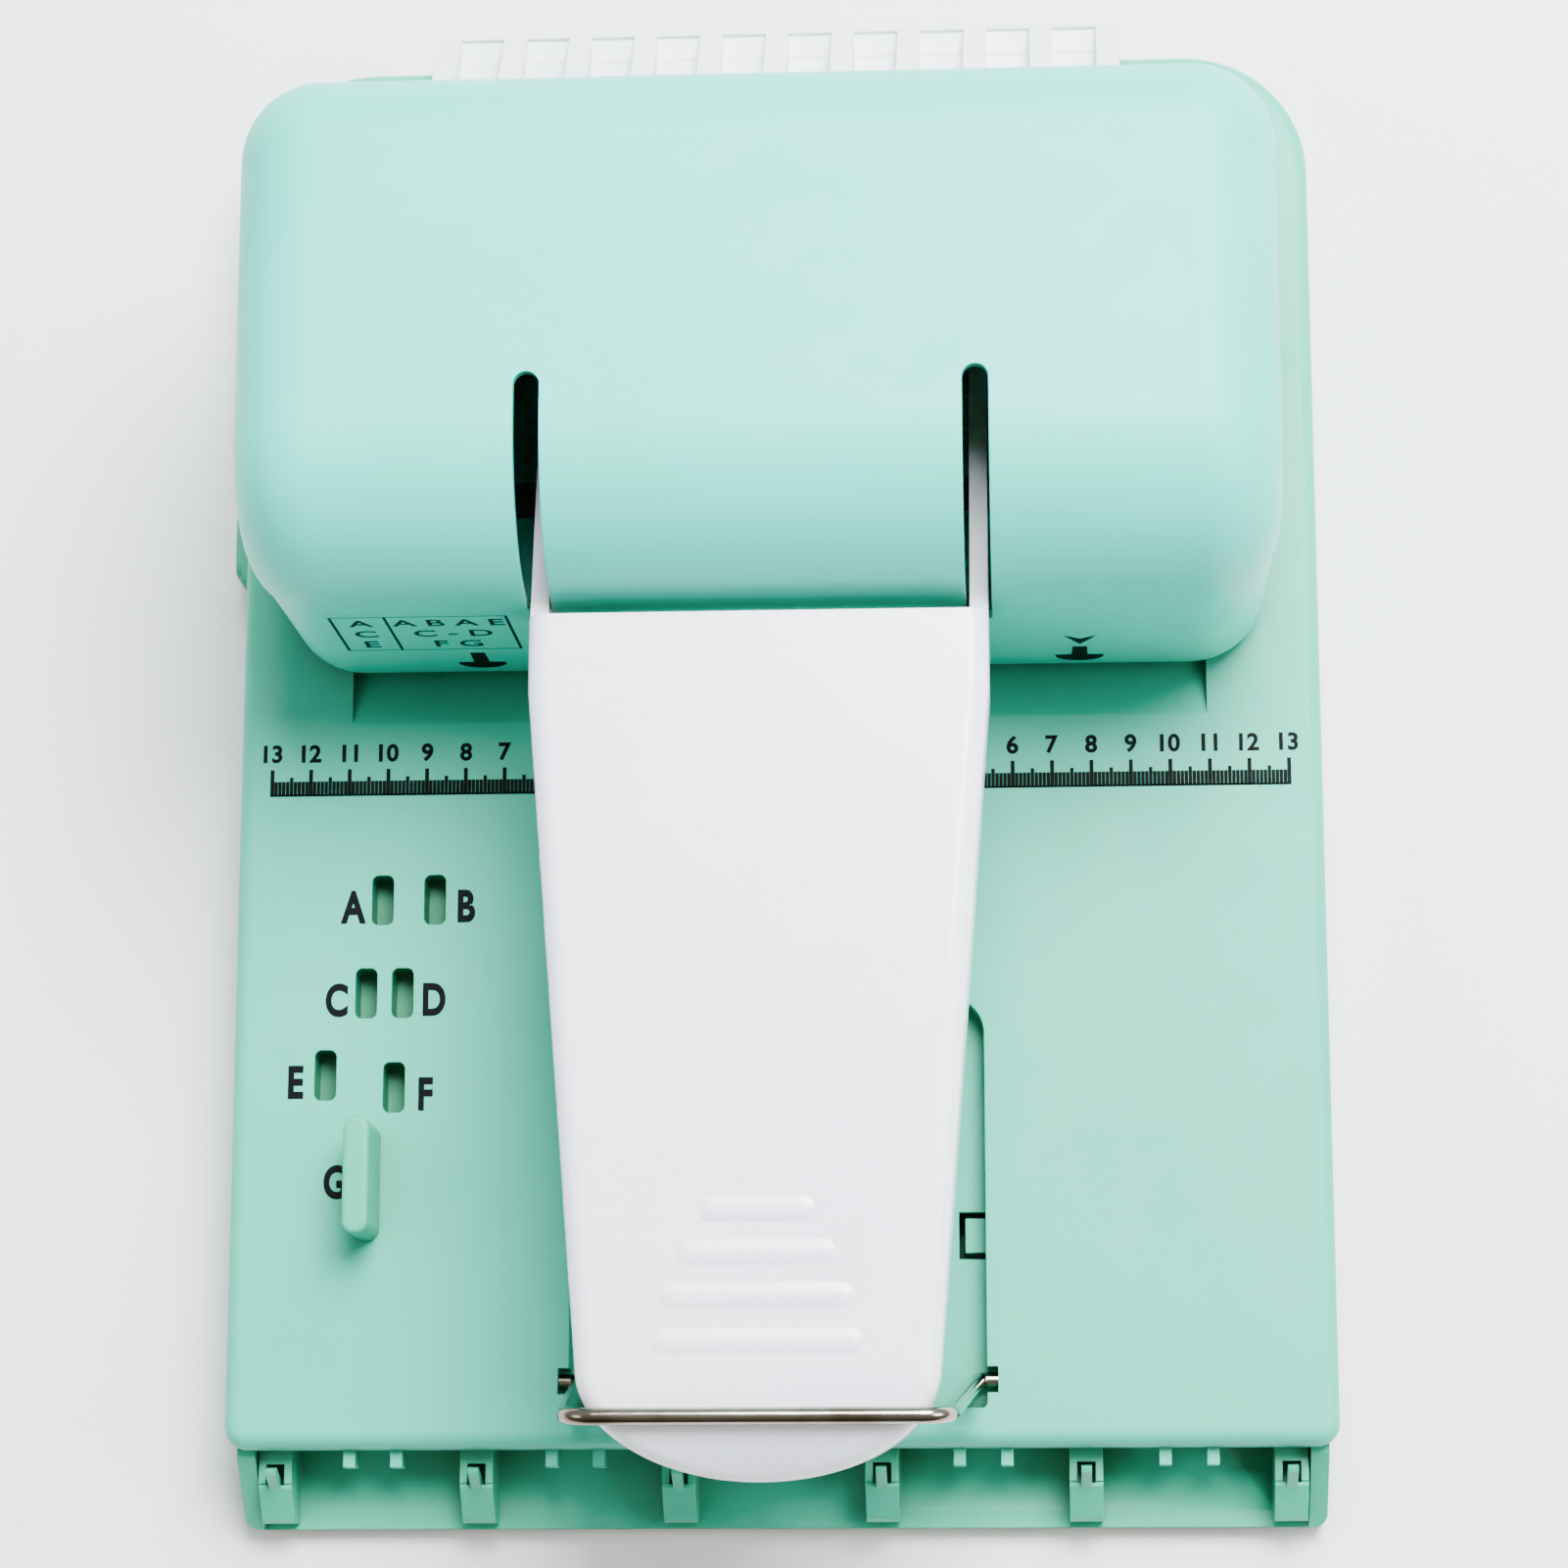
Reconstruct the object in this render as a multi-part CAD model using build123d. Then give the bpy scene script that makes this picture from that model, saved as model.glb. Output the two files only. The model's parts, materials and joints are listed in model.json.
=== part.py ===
from build123d import *
import math
import os

# Lever paper punch for disc-bound notebooks. Millimetres, +Z up, the operator at -Y.
# The origin is on the table, at the middle of the whole punch's outline. Y is worked out from a datum
# a little in front of that, close to the printed scale, and every piece is moved by DATUM_Y as it is saved.
DATUM_Y = -6.6

# Base and deck
DECK_Z = 32.0
UNDERSIDE_Z = 3.0
WALL = 2.5
BASE_HALF = 138.6
DECK_FRONT, DECK_REAR = -170.0, 192.5
FRONT_CORNER, REAR_CORNER = 5.5, 32.0
DECK_EDGE = 4.0
SKIRT_Z = 24.0
BAY_Y = -150.0

# Recess for the folded bail
RECESS_HALF = 52.0
RECESS_FRONT, RECESS_REAR = -160.6, -58.0
RECESS_Z = 24.0

# Head
HEAD_HALF = 125.0
HEAD_FRONT, HEAD_REAR = 25.5, 154.4
HEAD_CORNER = 20.0
THROAT_Z = 40.0
THROAT_REAR = 95.0
PARTING_Z = 103.0
HEAD_Z = 140.0
PARTING_STEP = 0.7
BROW_DEEP = 38.0
REAR_BROW = 22.0

# Arm slots in the head
ARM_X = 52.7
SLOT_WIDE = 6.2
SLOT_REAR = 74.4
SLOT_FOOT_Z = 86.0

# Ramp and die set
RAMP_HALF = 109.5
RAMP_TOP_Y, RAMP_FOOT_Y = 14.5, 40.0
DIE_TOP_Z = 25.5
DIE_THICK = 4.0
DIE_HALF = 114.0
DIE_FRONT, DIE_REAR = 50.0, 148.0
PAPER_GAP = 2.5
STRIPPER_THICK = 4.0
STRIPPER_FRONT, STRIPPER_REAR = 64.0, 108.0
STRIPPER_HALF = 96.0
GAUGE_Y = 90.0

# Punches
HOLE_PITCH = 25.4
PUNCH_COUNT = 7
PUNCH_Y = 83.0
PUNCH_HEAD_R = 3.2
PUNCH_STEM_HALF = 1.6
PUNCH_STEM_Y = 89.6
DIE_CLEARANCE = 0.25
PUNCH_TIP_Z = 20.5
STROKE = 9.0

# Carrier, guide pins and return springs
CARRIER_Z0, CARRIER_Z1 = 47.0, 55.0
CARRIER_HALF = 95.0
CARRIER_FRONT, CARRIER_REAR = 72.0, 108.0
PIN_X, PIN_Y, PIN_R = 88.0, 96.0, 4.0
PIN_FIT = 0.06
SPRING_R, SPRING_WIRE_R, SPRING_TURNS = 6.8, 0.7, 5

# Lever
PIVOT_Y, PIVOT_Z = 104.0, 78.0
SHAFT_R = 6.0
SHAFT_FIT = 0.06
SHAFT_HALF = 109.0
LEVER_SWING = math.radians(41.5)
LEVER_TOP_Z = 113.0
LEVER_FOOT_Z = 92.0
NOSE_FOOT_Y, NOSE_FOOT_Z = -160.0, 98.9
FRAME_END_Y = -138.0
LEVER_REAR = 22.5
LEVER_REAR_HALF = 55.0
LEVER_TAPER_Y = 4.0
LEVER_NOSE_Y = -156.5
LEVER_NOSE_HALF = 42.3
LEVER_TIP_Y = -181.8
LEVER_TIP_DROP = 12.0
NOSE_BEND = 52.0
LEVER_EDGE = 5.0
LEVER_SKIN = 2.4
LEVER_SWEEP_R = 87.5
ARM_THICK = 4.4
ARM_HALF_DEPTH = 8.0
CAM_X, CAM_THICK, CAM_GAP = 30.0, 8.0, 0.3
GRIP_RIDGES = [(-120.0, 21.0), (-130.0, 31.0), (-140.0, 39.0), (-150.5, 43.0)]

# Side frames
FRAME_X, FRAME_THICK = 100.0, 3.0
FRAME_FRONT, FRAME_REAR = 91.0, 124.0
FRAME_TOP_Z = 94.0

# Bail
BAIL_WIRE_R = 2.0
BAIL_PIVOT_Y, BAIL_PIVOT_Z = -153.6, 28.0
BAIL_LEAN = math.radians(9.2)
BAIL_LEG = 86.8
BAIL_FOOT_X, BAIL_TOP_X, BAIL_END_X = 49.6, 44.2, 56.9

# Chip drawer
DRAWER_FRONT_Y, DRAWER_REAR_Y = 57.0, 141.0
DRAWER_Z0, DRAWER_Z1 = 5.8, 20.2
DRAWER_END_X = 92.0
FACE_FRONT_Y, FACE_REAR_Y = 53.5, 161.5
PULL_X = -142.9

# Racks
HOOK_PITCH, HOOK_WIDE = 50.8, 8.3
RACK_HALF, RACK_LIP_Y = 136.2, -188.8
RIB_OFFSET = 5.9
REAR_RACK_HALF, REAR_RACK_Y = 90.0, 202.0
REAR_RIB, REAR_PITCH = 6.0, 17.4

# Stop slots: letter and centre
STOP_SLOTS = {"A": (-100.8, -31.6), "B": (-87.4, -31.6), "C": (-104.6, -55.6), "D": (-95.3, -55.6),
              "E": (-114.6, -76.5), "F": (-97.1, -79.7), "G": (-103.4, -105.0)}
STOP_WIDE, STOP_LONG = 5.6, 12.9
STOP_FLOOR_Z = 22.5
STOP_CORNER = 1.8


def block(x0, x1, y0, y1, z0, z1):
    """A box between two corners."""
    return Pos((x0 + x1) / 2, (y0 + y1) / 2, (z0 + z1) / 2) * Box(abs(x1 - x0), abs(y1 - y0), abs(z1 - z0))


def upright(x, y, radius, z0, z1):
    """A cylinder along Z."""
    return Pos(x, y, (z0 + z1) / 2) * Cylinder(radius, z1 - z0)


def across(y, z, radius, x0, x1):
    """A cylinder along X."""
    return Pos((x0 + x1) / 2, y, z) * Rot(0, 90, 0) * Cylinder(radius, abs(x1 - x0))


def side_plate(outline, x0, x1):
    """A closed (y, z) outline made solid from x0 to x1."""
    face = Plane.YZ.offset(min(x0, x1)) * outline
    return extrude(face, abs(x1 - x0))


def polygon(points):
    """A face through the given 2-D points."""
    return make_face(Polyline(*points, close=True))


def both_sides(solid):
    """The solid and its mirror image across the middle plane."""
    return [solid, mirror(solid, Plane.YZ)]


def save(name, pieces):
    """Write one node, as one solid or a group of separate solids, moved from the datum to the origin."""
    group = pieces if isinstance(pieces, (list, tuple)) else [pieces]
    solids = [Pos(0, DATUM_Y, 0) * Solid(s.wrapped) for piece in group for s in piece.solids()]
    export_step(solids[0] if len(solids) == 1 else Compound(children=solids), f"parts/{name}.step")


def slab_with_corners(half, y0, y1, z0, z1, front_radius, rear_radius):
    """A plate with its front and rear pairs of upright edges rounded."""
    slab = block(-half, half, y0, y1, z0, z1)
    uprights = slab.edges().filter_by(Axis.Z).sort_by(Axis.Y)
    slab = fillet(uprights[:2], front_radius)
    uprights = slab.edges().filter_by(Axis.Z).filter_by_position(Axis.Y, y1 - 0.01, y1 + 0.01)
    return fillet(uprights, rear_radius)


def screw(x, y, head_z, tip_z, shank_r=1.5, head_r=2.8, head_high=2.2):
    """A pan-head screw along Z, its head's bearing face at head_z and its shank ending at tip_z."""
    away = head_z - math.copysign(head_high, tip_z - head_z)
    shank = upright(x, y, shank_r, min(head_z, tip_z), max(head_z, tip_z))
    head = upright(x, y, head_r, min(head_z, away), max(head_z, away))
    cross = block(x - 1.6, x + 1.6, y - 0.4, y + 0.4, away - 0.9, away + 0.9)
    cross += block(x - 0.4, x + 0.4, y - 1.6, y + 1.6, away - 0.9, away + 0.9)
    return shank + head - cross


# Base: places of screws, feet and hooks
BASE_SCREWS = [(x, y) for x in (-126.0, 126.0) for y in (-140.0, -30.0, 40.0, 166.0)]
HEAD_SCREWS = [(x, y) for x in (-117.0, 117.0) for y in (103.0, 128.0)]
COVER_SCREWS = [(x, y) for x in (-115.0, 115.0) for y in (60.0, 128.0)]
FRAME_SCREWS = [(x, y) for x in (-108.5, 108.5) for y in (96.0, 118.0)]
DIE_SCREWS = [(x, y) for x in (-104.0, 104.0) for y in (52.8, 145.2)]
STRIPPER_SCREWS = [(x, 102.5) for x in (-72.0, -24.0, 24.0, 72.0)]
RACK_SCREWS = [(x, -160.5) for x in (-108.0, -66.0, 66.0, 108.0)]
LEVER_SCREWS = [(-30.0, 0.0), (30.0, 0.0), (-24.0, -120.0), (24.0, -120.0)]
FEET = [(x, y) for x in (-118.0, 118.0) for y in (-132.0, 28.0, 172.0)]
HOOKS = [HOOK_PITCH * (i - 2.5) for i in range(6)]
PUNCHES = [HOLE_PITCH * (i - (PUNCH_COUNT - 1) / 2) for i in range(PUNCH_COUNT)]

DIE_Z0 = DIE_TOP_Z - DIE_THICK
STRIPPER_Z0 = DIE_TOP_Z + PAPER_GAP
STRIPPER_Z1 = STRIPPER_Z0 + STRIPPER_THICK


def stop_slot(x, y, inset, z0, z1):
    """The body of one stop slot, or of the peg's foot when inset is more than 0."""
    wide, long = STOP_WIDE - 2 * inset, STOP_LONG - 2 * inset
    return Pos(x, y, z0) * extrude(RectangleRounded(wide, long, STOP_CORNER - inset), z1 - z0)


def bail_clip_slit(side):
    """The C-shaped slit that frees a springy tongue in the recess floor."""
    outer = block(side * 45.2, side * RECESS_HALF, -123.2, -111.4, 21.0, 25.0)
    inner = block(side * 46.8, side * (RECESS_HALF + 1), -121.6, -113.0, 20.0, 26.0)
    return outer - inner


def base_shell():
    """Deck and outer walls, with the bail recess, the paper ramp and the stop slots."""
    shell = slab_with_corners(BASE_HALF, DECK_FRONT, DECK_REAR, UNDERSIDE_Z, DECK_Z,
                              FRONT_CORNER, REAR_CORNER)
    rim = shell.faces().sort_by(Axis.Z)[-1].edges()
    shell = fillet(rim, DECK_EDGE)
    shell -= slab_with_corners(BASE_HALF - WALL, DECK_FRONT + WALL, DECK_REAR - WALL, UNDERSIDE_Z - 1,
                               DECK_Z - WALL, FRONT_CORNER - WALL, REAR_CORNER - WALL)
    shell -= block(-BASE_HALF - 1, BASE_HALF + 1, DECK_FRONT - 1, BAY_Y, 0, SKIRT_Z)
    # bail recess tub
    tub_half = RECESS_HALF + 5.2
    shell += block(-tub_half, tub_half, RECESS_FRONT - 2, RECESS_REAR + 2, RECESS_Z - 2, DECK_Z - WALL)
    recess = slab_with_corners(RECESS_HALF, RECESS_FRONT, RECESS_REAR, RECESS_Z, DECK_Z + 5, 1.5, 9.0)
    shell -= recess
    for side in (-1, 1):
        shell -= bail_clip_slit(side)
        shell -= block(side * (RECESS_HALF - 1), side * (RECESS_HALF + 2.7), BAIL_PIVOT_Y - 3.2,
                       BAIL_PIVOT_Y + 3.2, BAIL_PIVOT_Z - 3, DECK_Z + 5)
        shell -= across(BAIL_PIVOT_Y, BAIL_PIVOT_Z, BAIL_WIRE_R + 0.06, side * RECESS_HALF, side * 60)
    # well under the head, with the ramp down to the die
    shell -= block(-RAMP_HALF, RAMP_HALF, RAMP_TOP_Y, 60, DECK_Z - WALL - 1, DECK_Z + 1)
    shell -= block(-DIE_HALF - 1, DIE_HALF + 1, 46, 150, DECK_Z - WALL - 1, DECK_Z + 1)
    slope = [(RAMP_TOP_Y, DECK_Z), (RAMP_FOOT_Y, DIE_TOP_Z), (49.8, DIE_TOP_Z), (49.8, DIE_TOP_Z - 2),
             (RAMP_FOOT_Y - 0.5, DIE_TOP_Z - 2), (RAMP_TOP_Y - 1, DECK_Z - 2)]
    shell += side_plate(polygon(slope), -RAMP_HALF, RAMP_HALF)
    cheek = [(RAMP_TOP_Y - 1, DECK_Z - 1), (49.8, DECK_Z - 1), (49.8, DIE_TOP_Z - 2),
             (RAMP_FOOT_Y, DIE_TOP_Z - 2), (RAMP_TOP_Y - 1, DECK_Z - 3)]
    for side in (-1, 1):
        shell += side_plate(polygon(cheek), side * RAMP_HALF, side * (RAMP_HALF + 2))
    for x, y in STOP_SLOTS.values():
        shell += stop_slot(x, y, -1.6, STOP_FLOOR_Z - 1.5, DECK_Z - WALL)
    for x, y in STOP_SLOTS.values():
        shell -= stop_slot(x, y, 0.0, STOP_FLOOR_Z, DECK_Z + 1)
    # drawer mouth in the left wall
    shell -= block(-BASE_HALF - 1, -BASE_HALF + WALL + 1, DRAWER_FRONT_Y - 1, DRAWER_REAR_Y + 1, 5.5, 21.2)
    # disc ribs in pairs under the front edge
    for middle in [HOOK_PITCH * (i - 2) for i in range(5)]:
        for offset in (-RIB_OFFSET, RIB_OFFSET):
            x = middle + offset
            shell += block(x - 1.5, x + 1.5, DECK_FRONT - 4.3, DECK_FRONT + WALL, SKIRT_Z - 4.5, SKIRT_Z + 2)
    for x, y in BASE_SCREWS:
        shell += upright(x, y, 4.0, 5.5, DECK_Z - WALL) - upright(x, y, 1.5, 5.5, 22)
    for x, y in HEAD_SCREWS:
        shell -= upright(x, y, 1.7, DECK_Z - WALL - 1, DECK_Z + 1)
    for x, y in RACK_SCREWS:
        shell += upright(x, y, 3.5, SKIRT_Z, DECK_Z - WALL)
        shell -= upright(x, y, 1.5, SKIRT_Z - 1, SKIRT_Z + 5)
    return shell


def base_tray():
    """Bottom plate, with the two rails that carry the die plate and guide the drawer."""
    tray = slab_with_corners(BASE_HALF - WALL - 0.3, BAY_Y + 0.3, DECK_REAR - WALL - 0.3, UNDERSIDE_Z, 5.5,
                             1.0, REAR_CORNER - WALL)
    for y0, y1 in ((DIE_FRONT, 55.5), (142.5, DIE_REAR)):
        tray += block(-DIE_HALF, DIE_HALF, y0, y1, 5.5, DIE_Z0)
        for x, y in DIE_SCREWS:
            if y0 < y < y1:
                tray -= upright(x, y, 1.5, DIE_Z0 - 10, DIE_Z0)
    tray += block(DRAWER_END_X + 1, DRAWER_END_X + 3, 70, 130, 5.5, 14)
    for x, y in BASE_SCREWS:
        tray -= upright(x, y, 1.7, 0, 6)
        tray -= upright(x, y, 3.2, 0, 4.0)
    return tray


def disc_rack():
    """Trough under the front edge that holds binding discs, with six hooks."""
    front = [(RACK_LIP_Y, UNDERSIDE_Z), (RACK_LIP_Y, 7.0), (DECK_FRONT - 1.5, SKIRT_Z - 0.1),
             (BAY_Y - 0.2, SKIRT_Z - 0.1), (BAY_Y - 0.2, UNDERSIDE_Z)]
    rack = side_plate(polygon(front), -RACK_HALF, RACK_HALF)
    corners = rack.edges().filter_by(Axis.Z).filter_by_position(Axis.Y, RACK_LIP_Y - 0.1, RACK_LIP_Y + 0.1)
    rack = fillet(corners, 3.0)
    centre_y, centre_z, inner_r = -181.5, 30.5, 24.5
    inside = RACK_HALF - 4.6
    channel = across(centre_y, centre_z, inner_r, -inside, inside)
    rack -= channel
    rack -= block(-inside, inside, RACK_LIP_Y - 1, centre_y, 6.2, SKIRT_Z + 2)
    under = across(centre_y, centre_z, inner_r + 2.4, -inside + 2, inside - 2)
    hollow = block(-inside + 2, inside - 2, -177, BAY_Y - 2.4, UNDERSIDE_Z - 1, SKIRT_Z - 2.5) - under
    rack -= hollow
    rack -= block(-RECESS_HALF - 6, RECESS_HALF + 6, RECESS_FRONT - 3, BAY_Y + 1, RECESS_Z - 2.2, SKIRT_Z + 1)
    for x in HOOKS:
        web = [(-184.5, 5.0), (-179.0, 15.0), (-178.0, 20.6), (-160.0, 20.6), (-160.0, 5.0)]
        hook = side_plate(polygon(web), x - HOOK_WIDE / 2, x + HOOK_WIDE / 2)
        finger = [(-187.2, 4.0), (-187.6, 12.5), (-186.8, 13.8), (-179.2, 20.2), (-177.0, 20.2), (-184.0, 4.0)]
        hook += side_plate(polygon(finger), x - HOOK_WIDE / 2, x + HOOK_WIDE / 2)
        hook -= block(x - 2.3, x + 2.3, -178.4, -173.2, 10.0, 30.0)
        tongue = [(-181.0, 17.0), (-176.2, 27.0), (-174.8, 27.8), (-174.3, 26.2), (-178.0, 16.0)]
        hook += side_plate(polygon(tongue), x - 1.3, x + 1.3)
        rack += hook
    for x, y in RACK_SCREWS:
        rack += upright(x, y, 3.5, 12.0, SKIRT_Z - 0.1)
        rack -= upright(x, y, 1.7, 0, SKIRT_Z + 1)
        rack -= upright(x, y, 3.4, 0, 15.0)
    return rack


def head_prism(inset, z0, z1):
    """The head's outline as a prism."""
    radius = HEAD_CORNER - inset
    return slab_with_corners(HEAD_HALF - inset, HEAD_FRONT + inset, HEAD_REAR - inset, z0, z1, radius, radius)


def head_dome(inset):
    """The head above the parting line: a deep rounded brow in front, rounded ends and rear."""
    y0, y1, top = HEAD_FRONT + inset, HEAD_REAR - inset, HEAD_Z - inset
    deep = BROW_DEEP - inset
    high = top - PARTING_Z
    rear = REAR_BROW - inset
    brow = EllipticalCenterArc((y0 + deep, PARTING_Z), deep, high, start_angle=90, arc_size=90)
    rear_arc = CenterArc((y1 - rear, top - rear), rear, 0, 90)
    lines = [Line((y0, PARTING_Z), (y1, PARTING_Z)), Line((y1, PARTING_Z), (y1, top - rear)), rear_arc,
             Line((y1 - rear, top), (y0 + deep, top)), brow]
    dome = side_plate(make_face(Wire(lines)), -(HEAD_HALF - inset), HEAD_HALF - inset)
    ends = []
    for side in (-1, 1):
        face = dome.faces().sort_by(Axis.X)[0 if side < 0 else -1]
        ends += [e for e in face.edges() if e.center().Z > PARTING_Z + 0.5]
    return fillet(ends, HEAD_CORNER - inset)


def arm_slot(side, z0, z1):
    """The space that one lever arm needs through the head."""
    middle = side * ARM_X
    half = SLOT_WIDE / 2
    space = block(middle - half, middle + half, HEAD_FRONT - 5, SLOT_REAR - half, z0, z1)
    return space + upright(middle, SLOT_REAR - half, half, z0, z1)


def head_cover():
    """Top cover of the head, with two slots for the lever arms."""
    cover = head_dome(0.0) - head_dome(WALL)
    for side in (-1, 1):
        cover -= arm_slot(side, PARTING_Z - 1, HEAD_Z + 1)
    for x, y in COVER_SCREWS:
        wall_x = math.copysign(HEAD_HALF - WALL + 1, x)
        cover += upright(x, y, 4.0, PARTING_Z, 118.0) + block(x, wall_x, y - 1, y + 1, PARTING_Z, 118.0)
        cover -= upright(x, y, 1.5, PARTING_Z - 1, 116.0)
    return cover


def head_body():
    """Lower shell of the head: walls, the roof of the paper throat and the screw bosses."""
    body = head_prism(PARTING_STEP, DECK_Z, PARTING_Z) - head_prism(WALL + 0.3, DECK_Z - 1, PARTING_Z + 1)
    inside = HEAD_HALF - WALL
    body -= block(-HEAD_HALF - 1, HEAD_HALF + 1, HEAD_FRONT - 1, THROAT_REAR, DECK_Z - 1, THROAT_Z)
    roof = head_prism(WALL - 0.5, THROAT_Z, THROAT_Z + 2)
    body += roof & block(-HEAD_HALF, HEAD_HALF, HEAD_FRONT, 66, THROAT_Z - 1, THROAT_Z + 3)
    for side in (-1, 1):
        body += block(side * (inside - 1), side * (inside + 1), THROAT_REAR - 2, THROAT_REAR + 0.5, DECK_Z,
                      PARTING_Z - 1)
        slot = arm_slot(side, SLOT_FOOT_Z + SLOT_WIDE / 2, PARTING_Z + 1)
        foot = Pos(side * ARM_X, HEAD_FRONT + 2, SLOT_FOOT_Z + SLOT_WIDE / 2) * Rot(90, 0, 0)
        body -= slot + foot * Cylinder(SLOT_WIDE / 2, 14)
    for x, y in COVER_SCREWS:
        out = math.copysign(inside + 1, x)
        body += upright(x, y, 4.0, 94.0, PARTING_Z) + block(x, out, y - 1, y + 1, 94.0, PARTING_Z)
        body -= upright(x, y, 1.7, 90.0, PARTING_Z + 1)
    for x, y in HEAD_SCREWS:
        out = math.copysign(inside + 1, x)
        body += upright(x, y, 4.0, DECK_Z, 48.0) + block(x, out, y - 1, y + 1, DECK_Z, 48.0)
        body -= upright(x, y, 1.5, DECK_Z - 1, 46.0)
    return body


def rear_rack():
    """White ribbed rack behind the head, sloping down past the rear edge of the base."""
    y0 = HEAD_REAR + 0.1
    top_z = 68.0
    outline = [(y0, DECK_Z), (y0, top_z), (y0 + 1.5, top_z), (REAR_RACK_Y, 31.5), (REAR_RACK_Y, 27.0),
               (DECK_REAR + 0.5, 27.0), (DECK_REAR + 0.5, DECK_Z)]
    rack = side_plate(polygon(outline), -REAR_RACK_HALF, REAR_RACK_HALF)
    pocket = [(y0 + 2.2, 34.2), (y0 + 2.2, top_z + 4), (REAR_RACK_Y - 1.6, 40.0), (REAR_RACK_Y - 1.6, 31.6),
              (DECK_REAR + 2, 31.6), (DECK_REAR, 34.2)]
    for i in range(10):
        x = REAR_PITCH * (i - 4.5)
        half = (REAR_PITCH - REAR_RIB) / 2
        rack -= side_plate(polygon(pocket), x - half, x + half)
    return rack


def punch_outline(grow):
    """Mushroom hole outline at X = 0: a round head and a stem that opens at the sheet's edge."""
    head = Pos(0, PUNCH_Y) * Circle(PUNCH_HEAD_R + grow)
    stem_long = PUNCH_STEM_Y - PUNCH_Y + grow
    stem = Pos(0, PUNCH_Y + stem_long / 2) * Rectangle(2 * (PUNCH_STEM_HALF + grow), stem_long)
    return head + stem


def mushroom(x, grow, z0, z1):
    """A mushroom-shaped column."""
    return Pos(x, 0, z0) * extrude(punch_outline(grow), z1 - z0)


def die_plate():
    """Steel bed with the seven die openings."""
    plate = block(-DIE_HALF, DIE_HALF, DIE_FRONT, DIE_REAR, DIE_Z0, DIE_TOP_Z)
    for x in PUNCHES:
        plate -= mushroom(x, DIE_CLEARANCE, DIE_Z0 - 1, DIE_TOP_Z + 1)
    for x, y in DIE_SCREWS:
        plate -= upright(x, y, 1.7, DIE_Z0 - 1, DIE_TOP_Z + 1)
    for x, y in FRAME_SCREWS + STRIPPER_SCREWS:
        plate -= upright(x, y, 1.5, DIE_Z0, DIE_TOP_Z + 1)
    for side in (-1, 1):
        plate -= upright(side * PIN_X, PIN_Y, PIN_R, DIE_Z0 - 1, DIE_TOP_Z + 1)
    return plate


def clamp_strip(y0, y1, z0, z1):
    """A strip drilled for the guide pins and the stripper screws."""
    strip = block(-STRIPPER_HALF, STRIPPER_HALF, y0, y1, z0, z1)
    for x, y in STRIPPER_SCREWS:
        strip -= upright(x, y, 1.7, z0 - 1, z1 + 1)
    for side in (-1, 1):
        strip -= upright(side * PIN_X, PIN_Y, PIN_R, z0 - 1, z1 + 1)
    return strip


def stripper_plate():
    """Plate over the paper gap that guides the punches and strips the sheet off them."""
    plate = clamp_strip(STRIPPER_FRONT, STRIPPER_REAR, STRIPPER_Z0, STRIPPER_Z1)
    lead_in = [(STRIPPER_FRONT - 1, STRIPPER_Z0 - 1), (STRIPPER_FRONT + 4, STRIPPER_Z0),
               (STRIPPER_FRONT - 1, STRIPPER_Z1 - 1)]
    plate -= side_plate(polygon(lead_in), -STRIPPER_HALF - 1, STRIPPER_HALF + 1)
    for x in PUNCHES:
        plate -= mushroom(x, DIE_CLEARANCE, STRIPPER_Z0 - 1, STRIPPER_Z1 + 1)
    return plate


def side_frame(side):
    """Steel bracket that carries one end of the lever shaft."""
    x0, x1 = FRAME_X, FRAME_X + FRAME_THICK
    outline = [(FRAME_FRONT, DIE_TOP_Z), (FRAME_FRONT, 60.0), (96.0, FRAME_TOP_Z), (116.0, FRAME_TOP_Z),
               (FRAME_REAR, 60.0), (FRAME_REAR, DIE_TOP_Z)]
    frame = side_plate(polygon(outline), side * x0, side * x1)
    frame += block(side * x0, side * DIE_HALF, FRAME_FRONT, FRAME_REAR, DIE_TOP_Z, DIE_TOP_Z + 3)
    frame -= across(PIVOT_Y, PIVOT_Z, SHAFT_R + 2, side * (x0 - 1), side * (x1 + 1))
    for x, y in FRAME_SCREWS:
        frame -= upright(x, y, 1.7, DIE_TOP_Z - 1, DIE_TOP_Z + 4)
    return frame


def shaft_bush(side):
    """Flanged bronze bush in a side frame."""
    bush = across(PIVOT_Y, PIVOT_Z, SHAFT_R + 2, side * FRAME_X, side * (FRAME_X + FRAME_THICK))
    bush += across(PIVOT_Y, PIVOT_Z, SHAFT_R + 4, side * (FRAME_X - 1.5), side * FRAME_X)
    return bush - across(PIVOT_Y, PIVOT_Z, SHAFT_R + SHAFT_FIT, side * (FRAME_X - 2), side * (FRAME_X + 4))


def circlip(side):
    """Open spring ring in the groove at one end of the shaft."""
    x0, x1 = side * (FRAME_X + 4.2), side * (FRAME_X + 5.2)
    ring = across(PIVOT_Y, PIVOT_Z, SHAFT_R + 2.2, x0, x1) - across(PIVOT_Y, PIVOT_Z, SHAFT_R - 0.6, x0, x1)
    return ring - block(x0 - 1, x1 + 1, PIVOT_Y - 3, PIVOT_Y + 3, PIVOT_Z - 10, PIVOT_Z)


def lever_shaft():
    """Pivot shaft of the lever, grooved for the circlips."""
    shaft = across(PIVOT_Y, PIVOT_Z, SHAFT_R, -SHAFT_HALF, SHAFT_HALF)
    for side in (-1, 1):
        x0, x1 = side * (FRAME_X + 4.2), side * (FRAME_X + 5.2)
        shaft -= across(PIVOT_Y, PIVOT_Z, 9, x0, x1) - across(PIVOT_Y, PIVOT_Z, SHAFT_R - 0.6, x0, x1)
    return shaft


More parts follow.
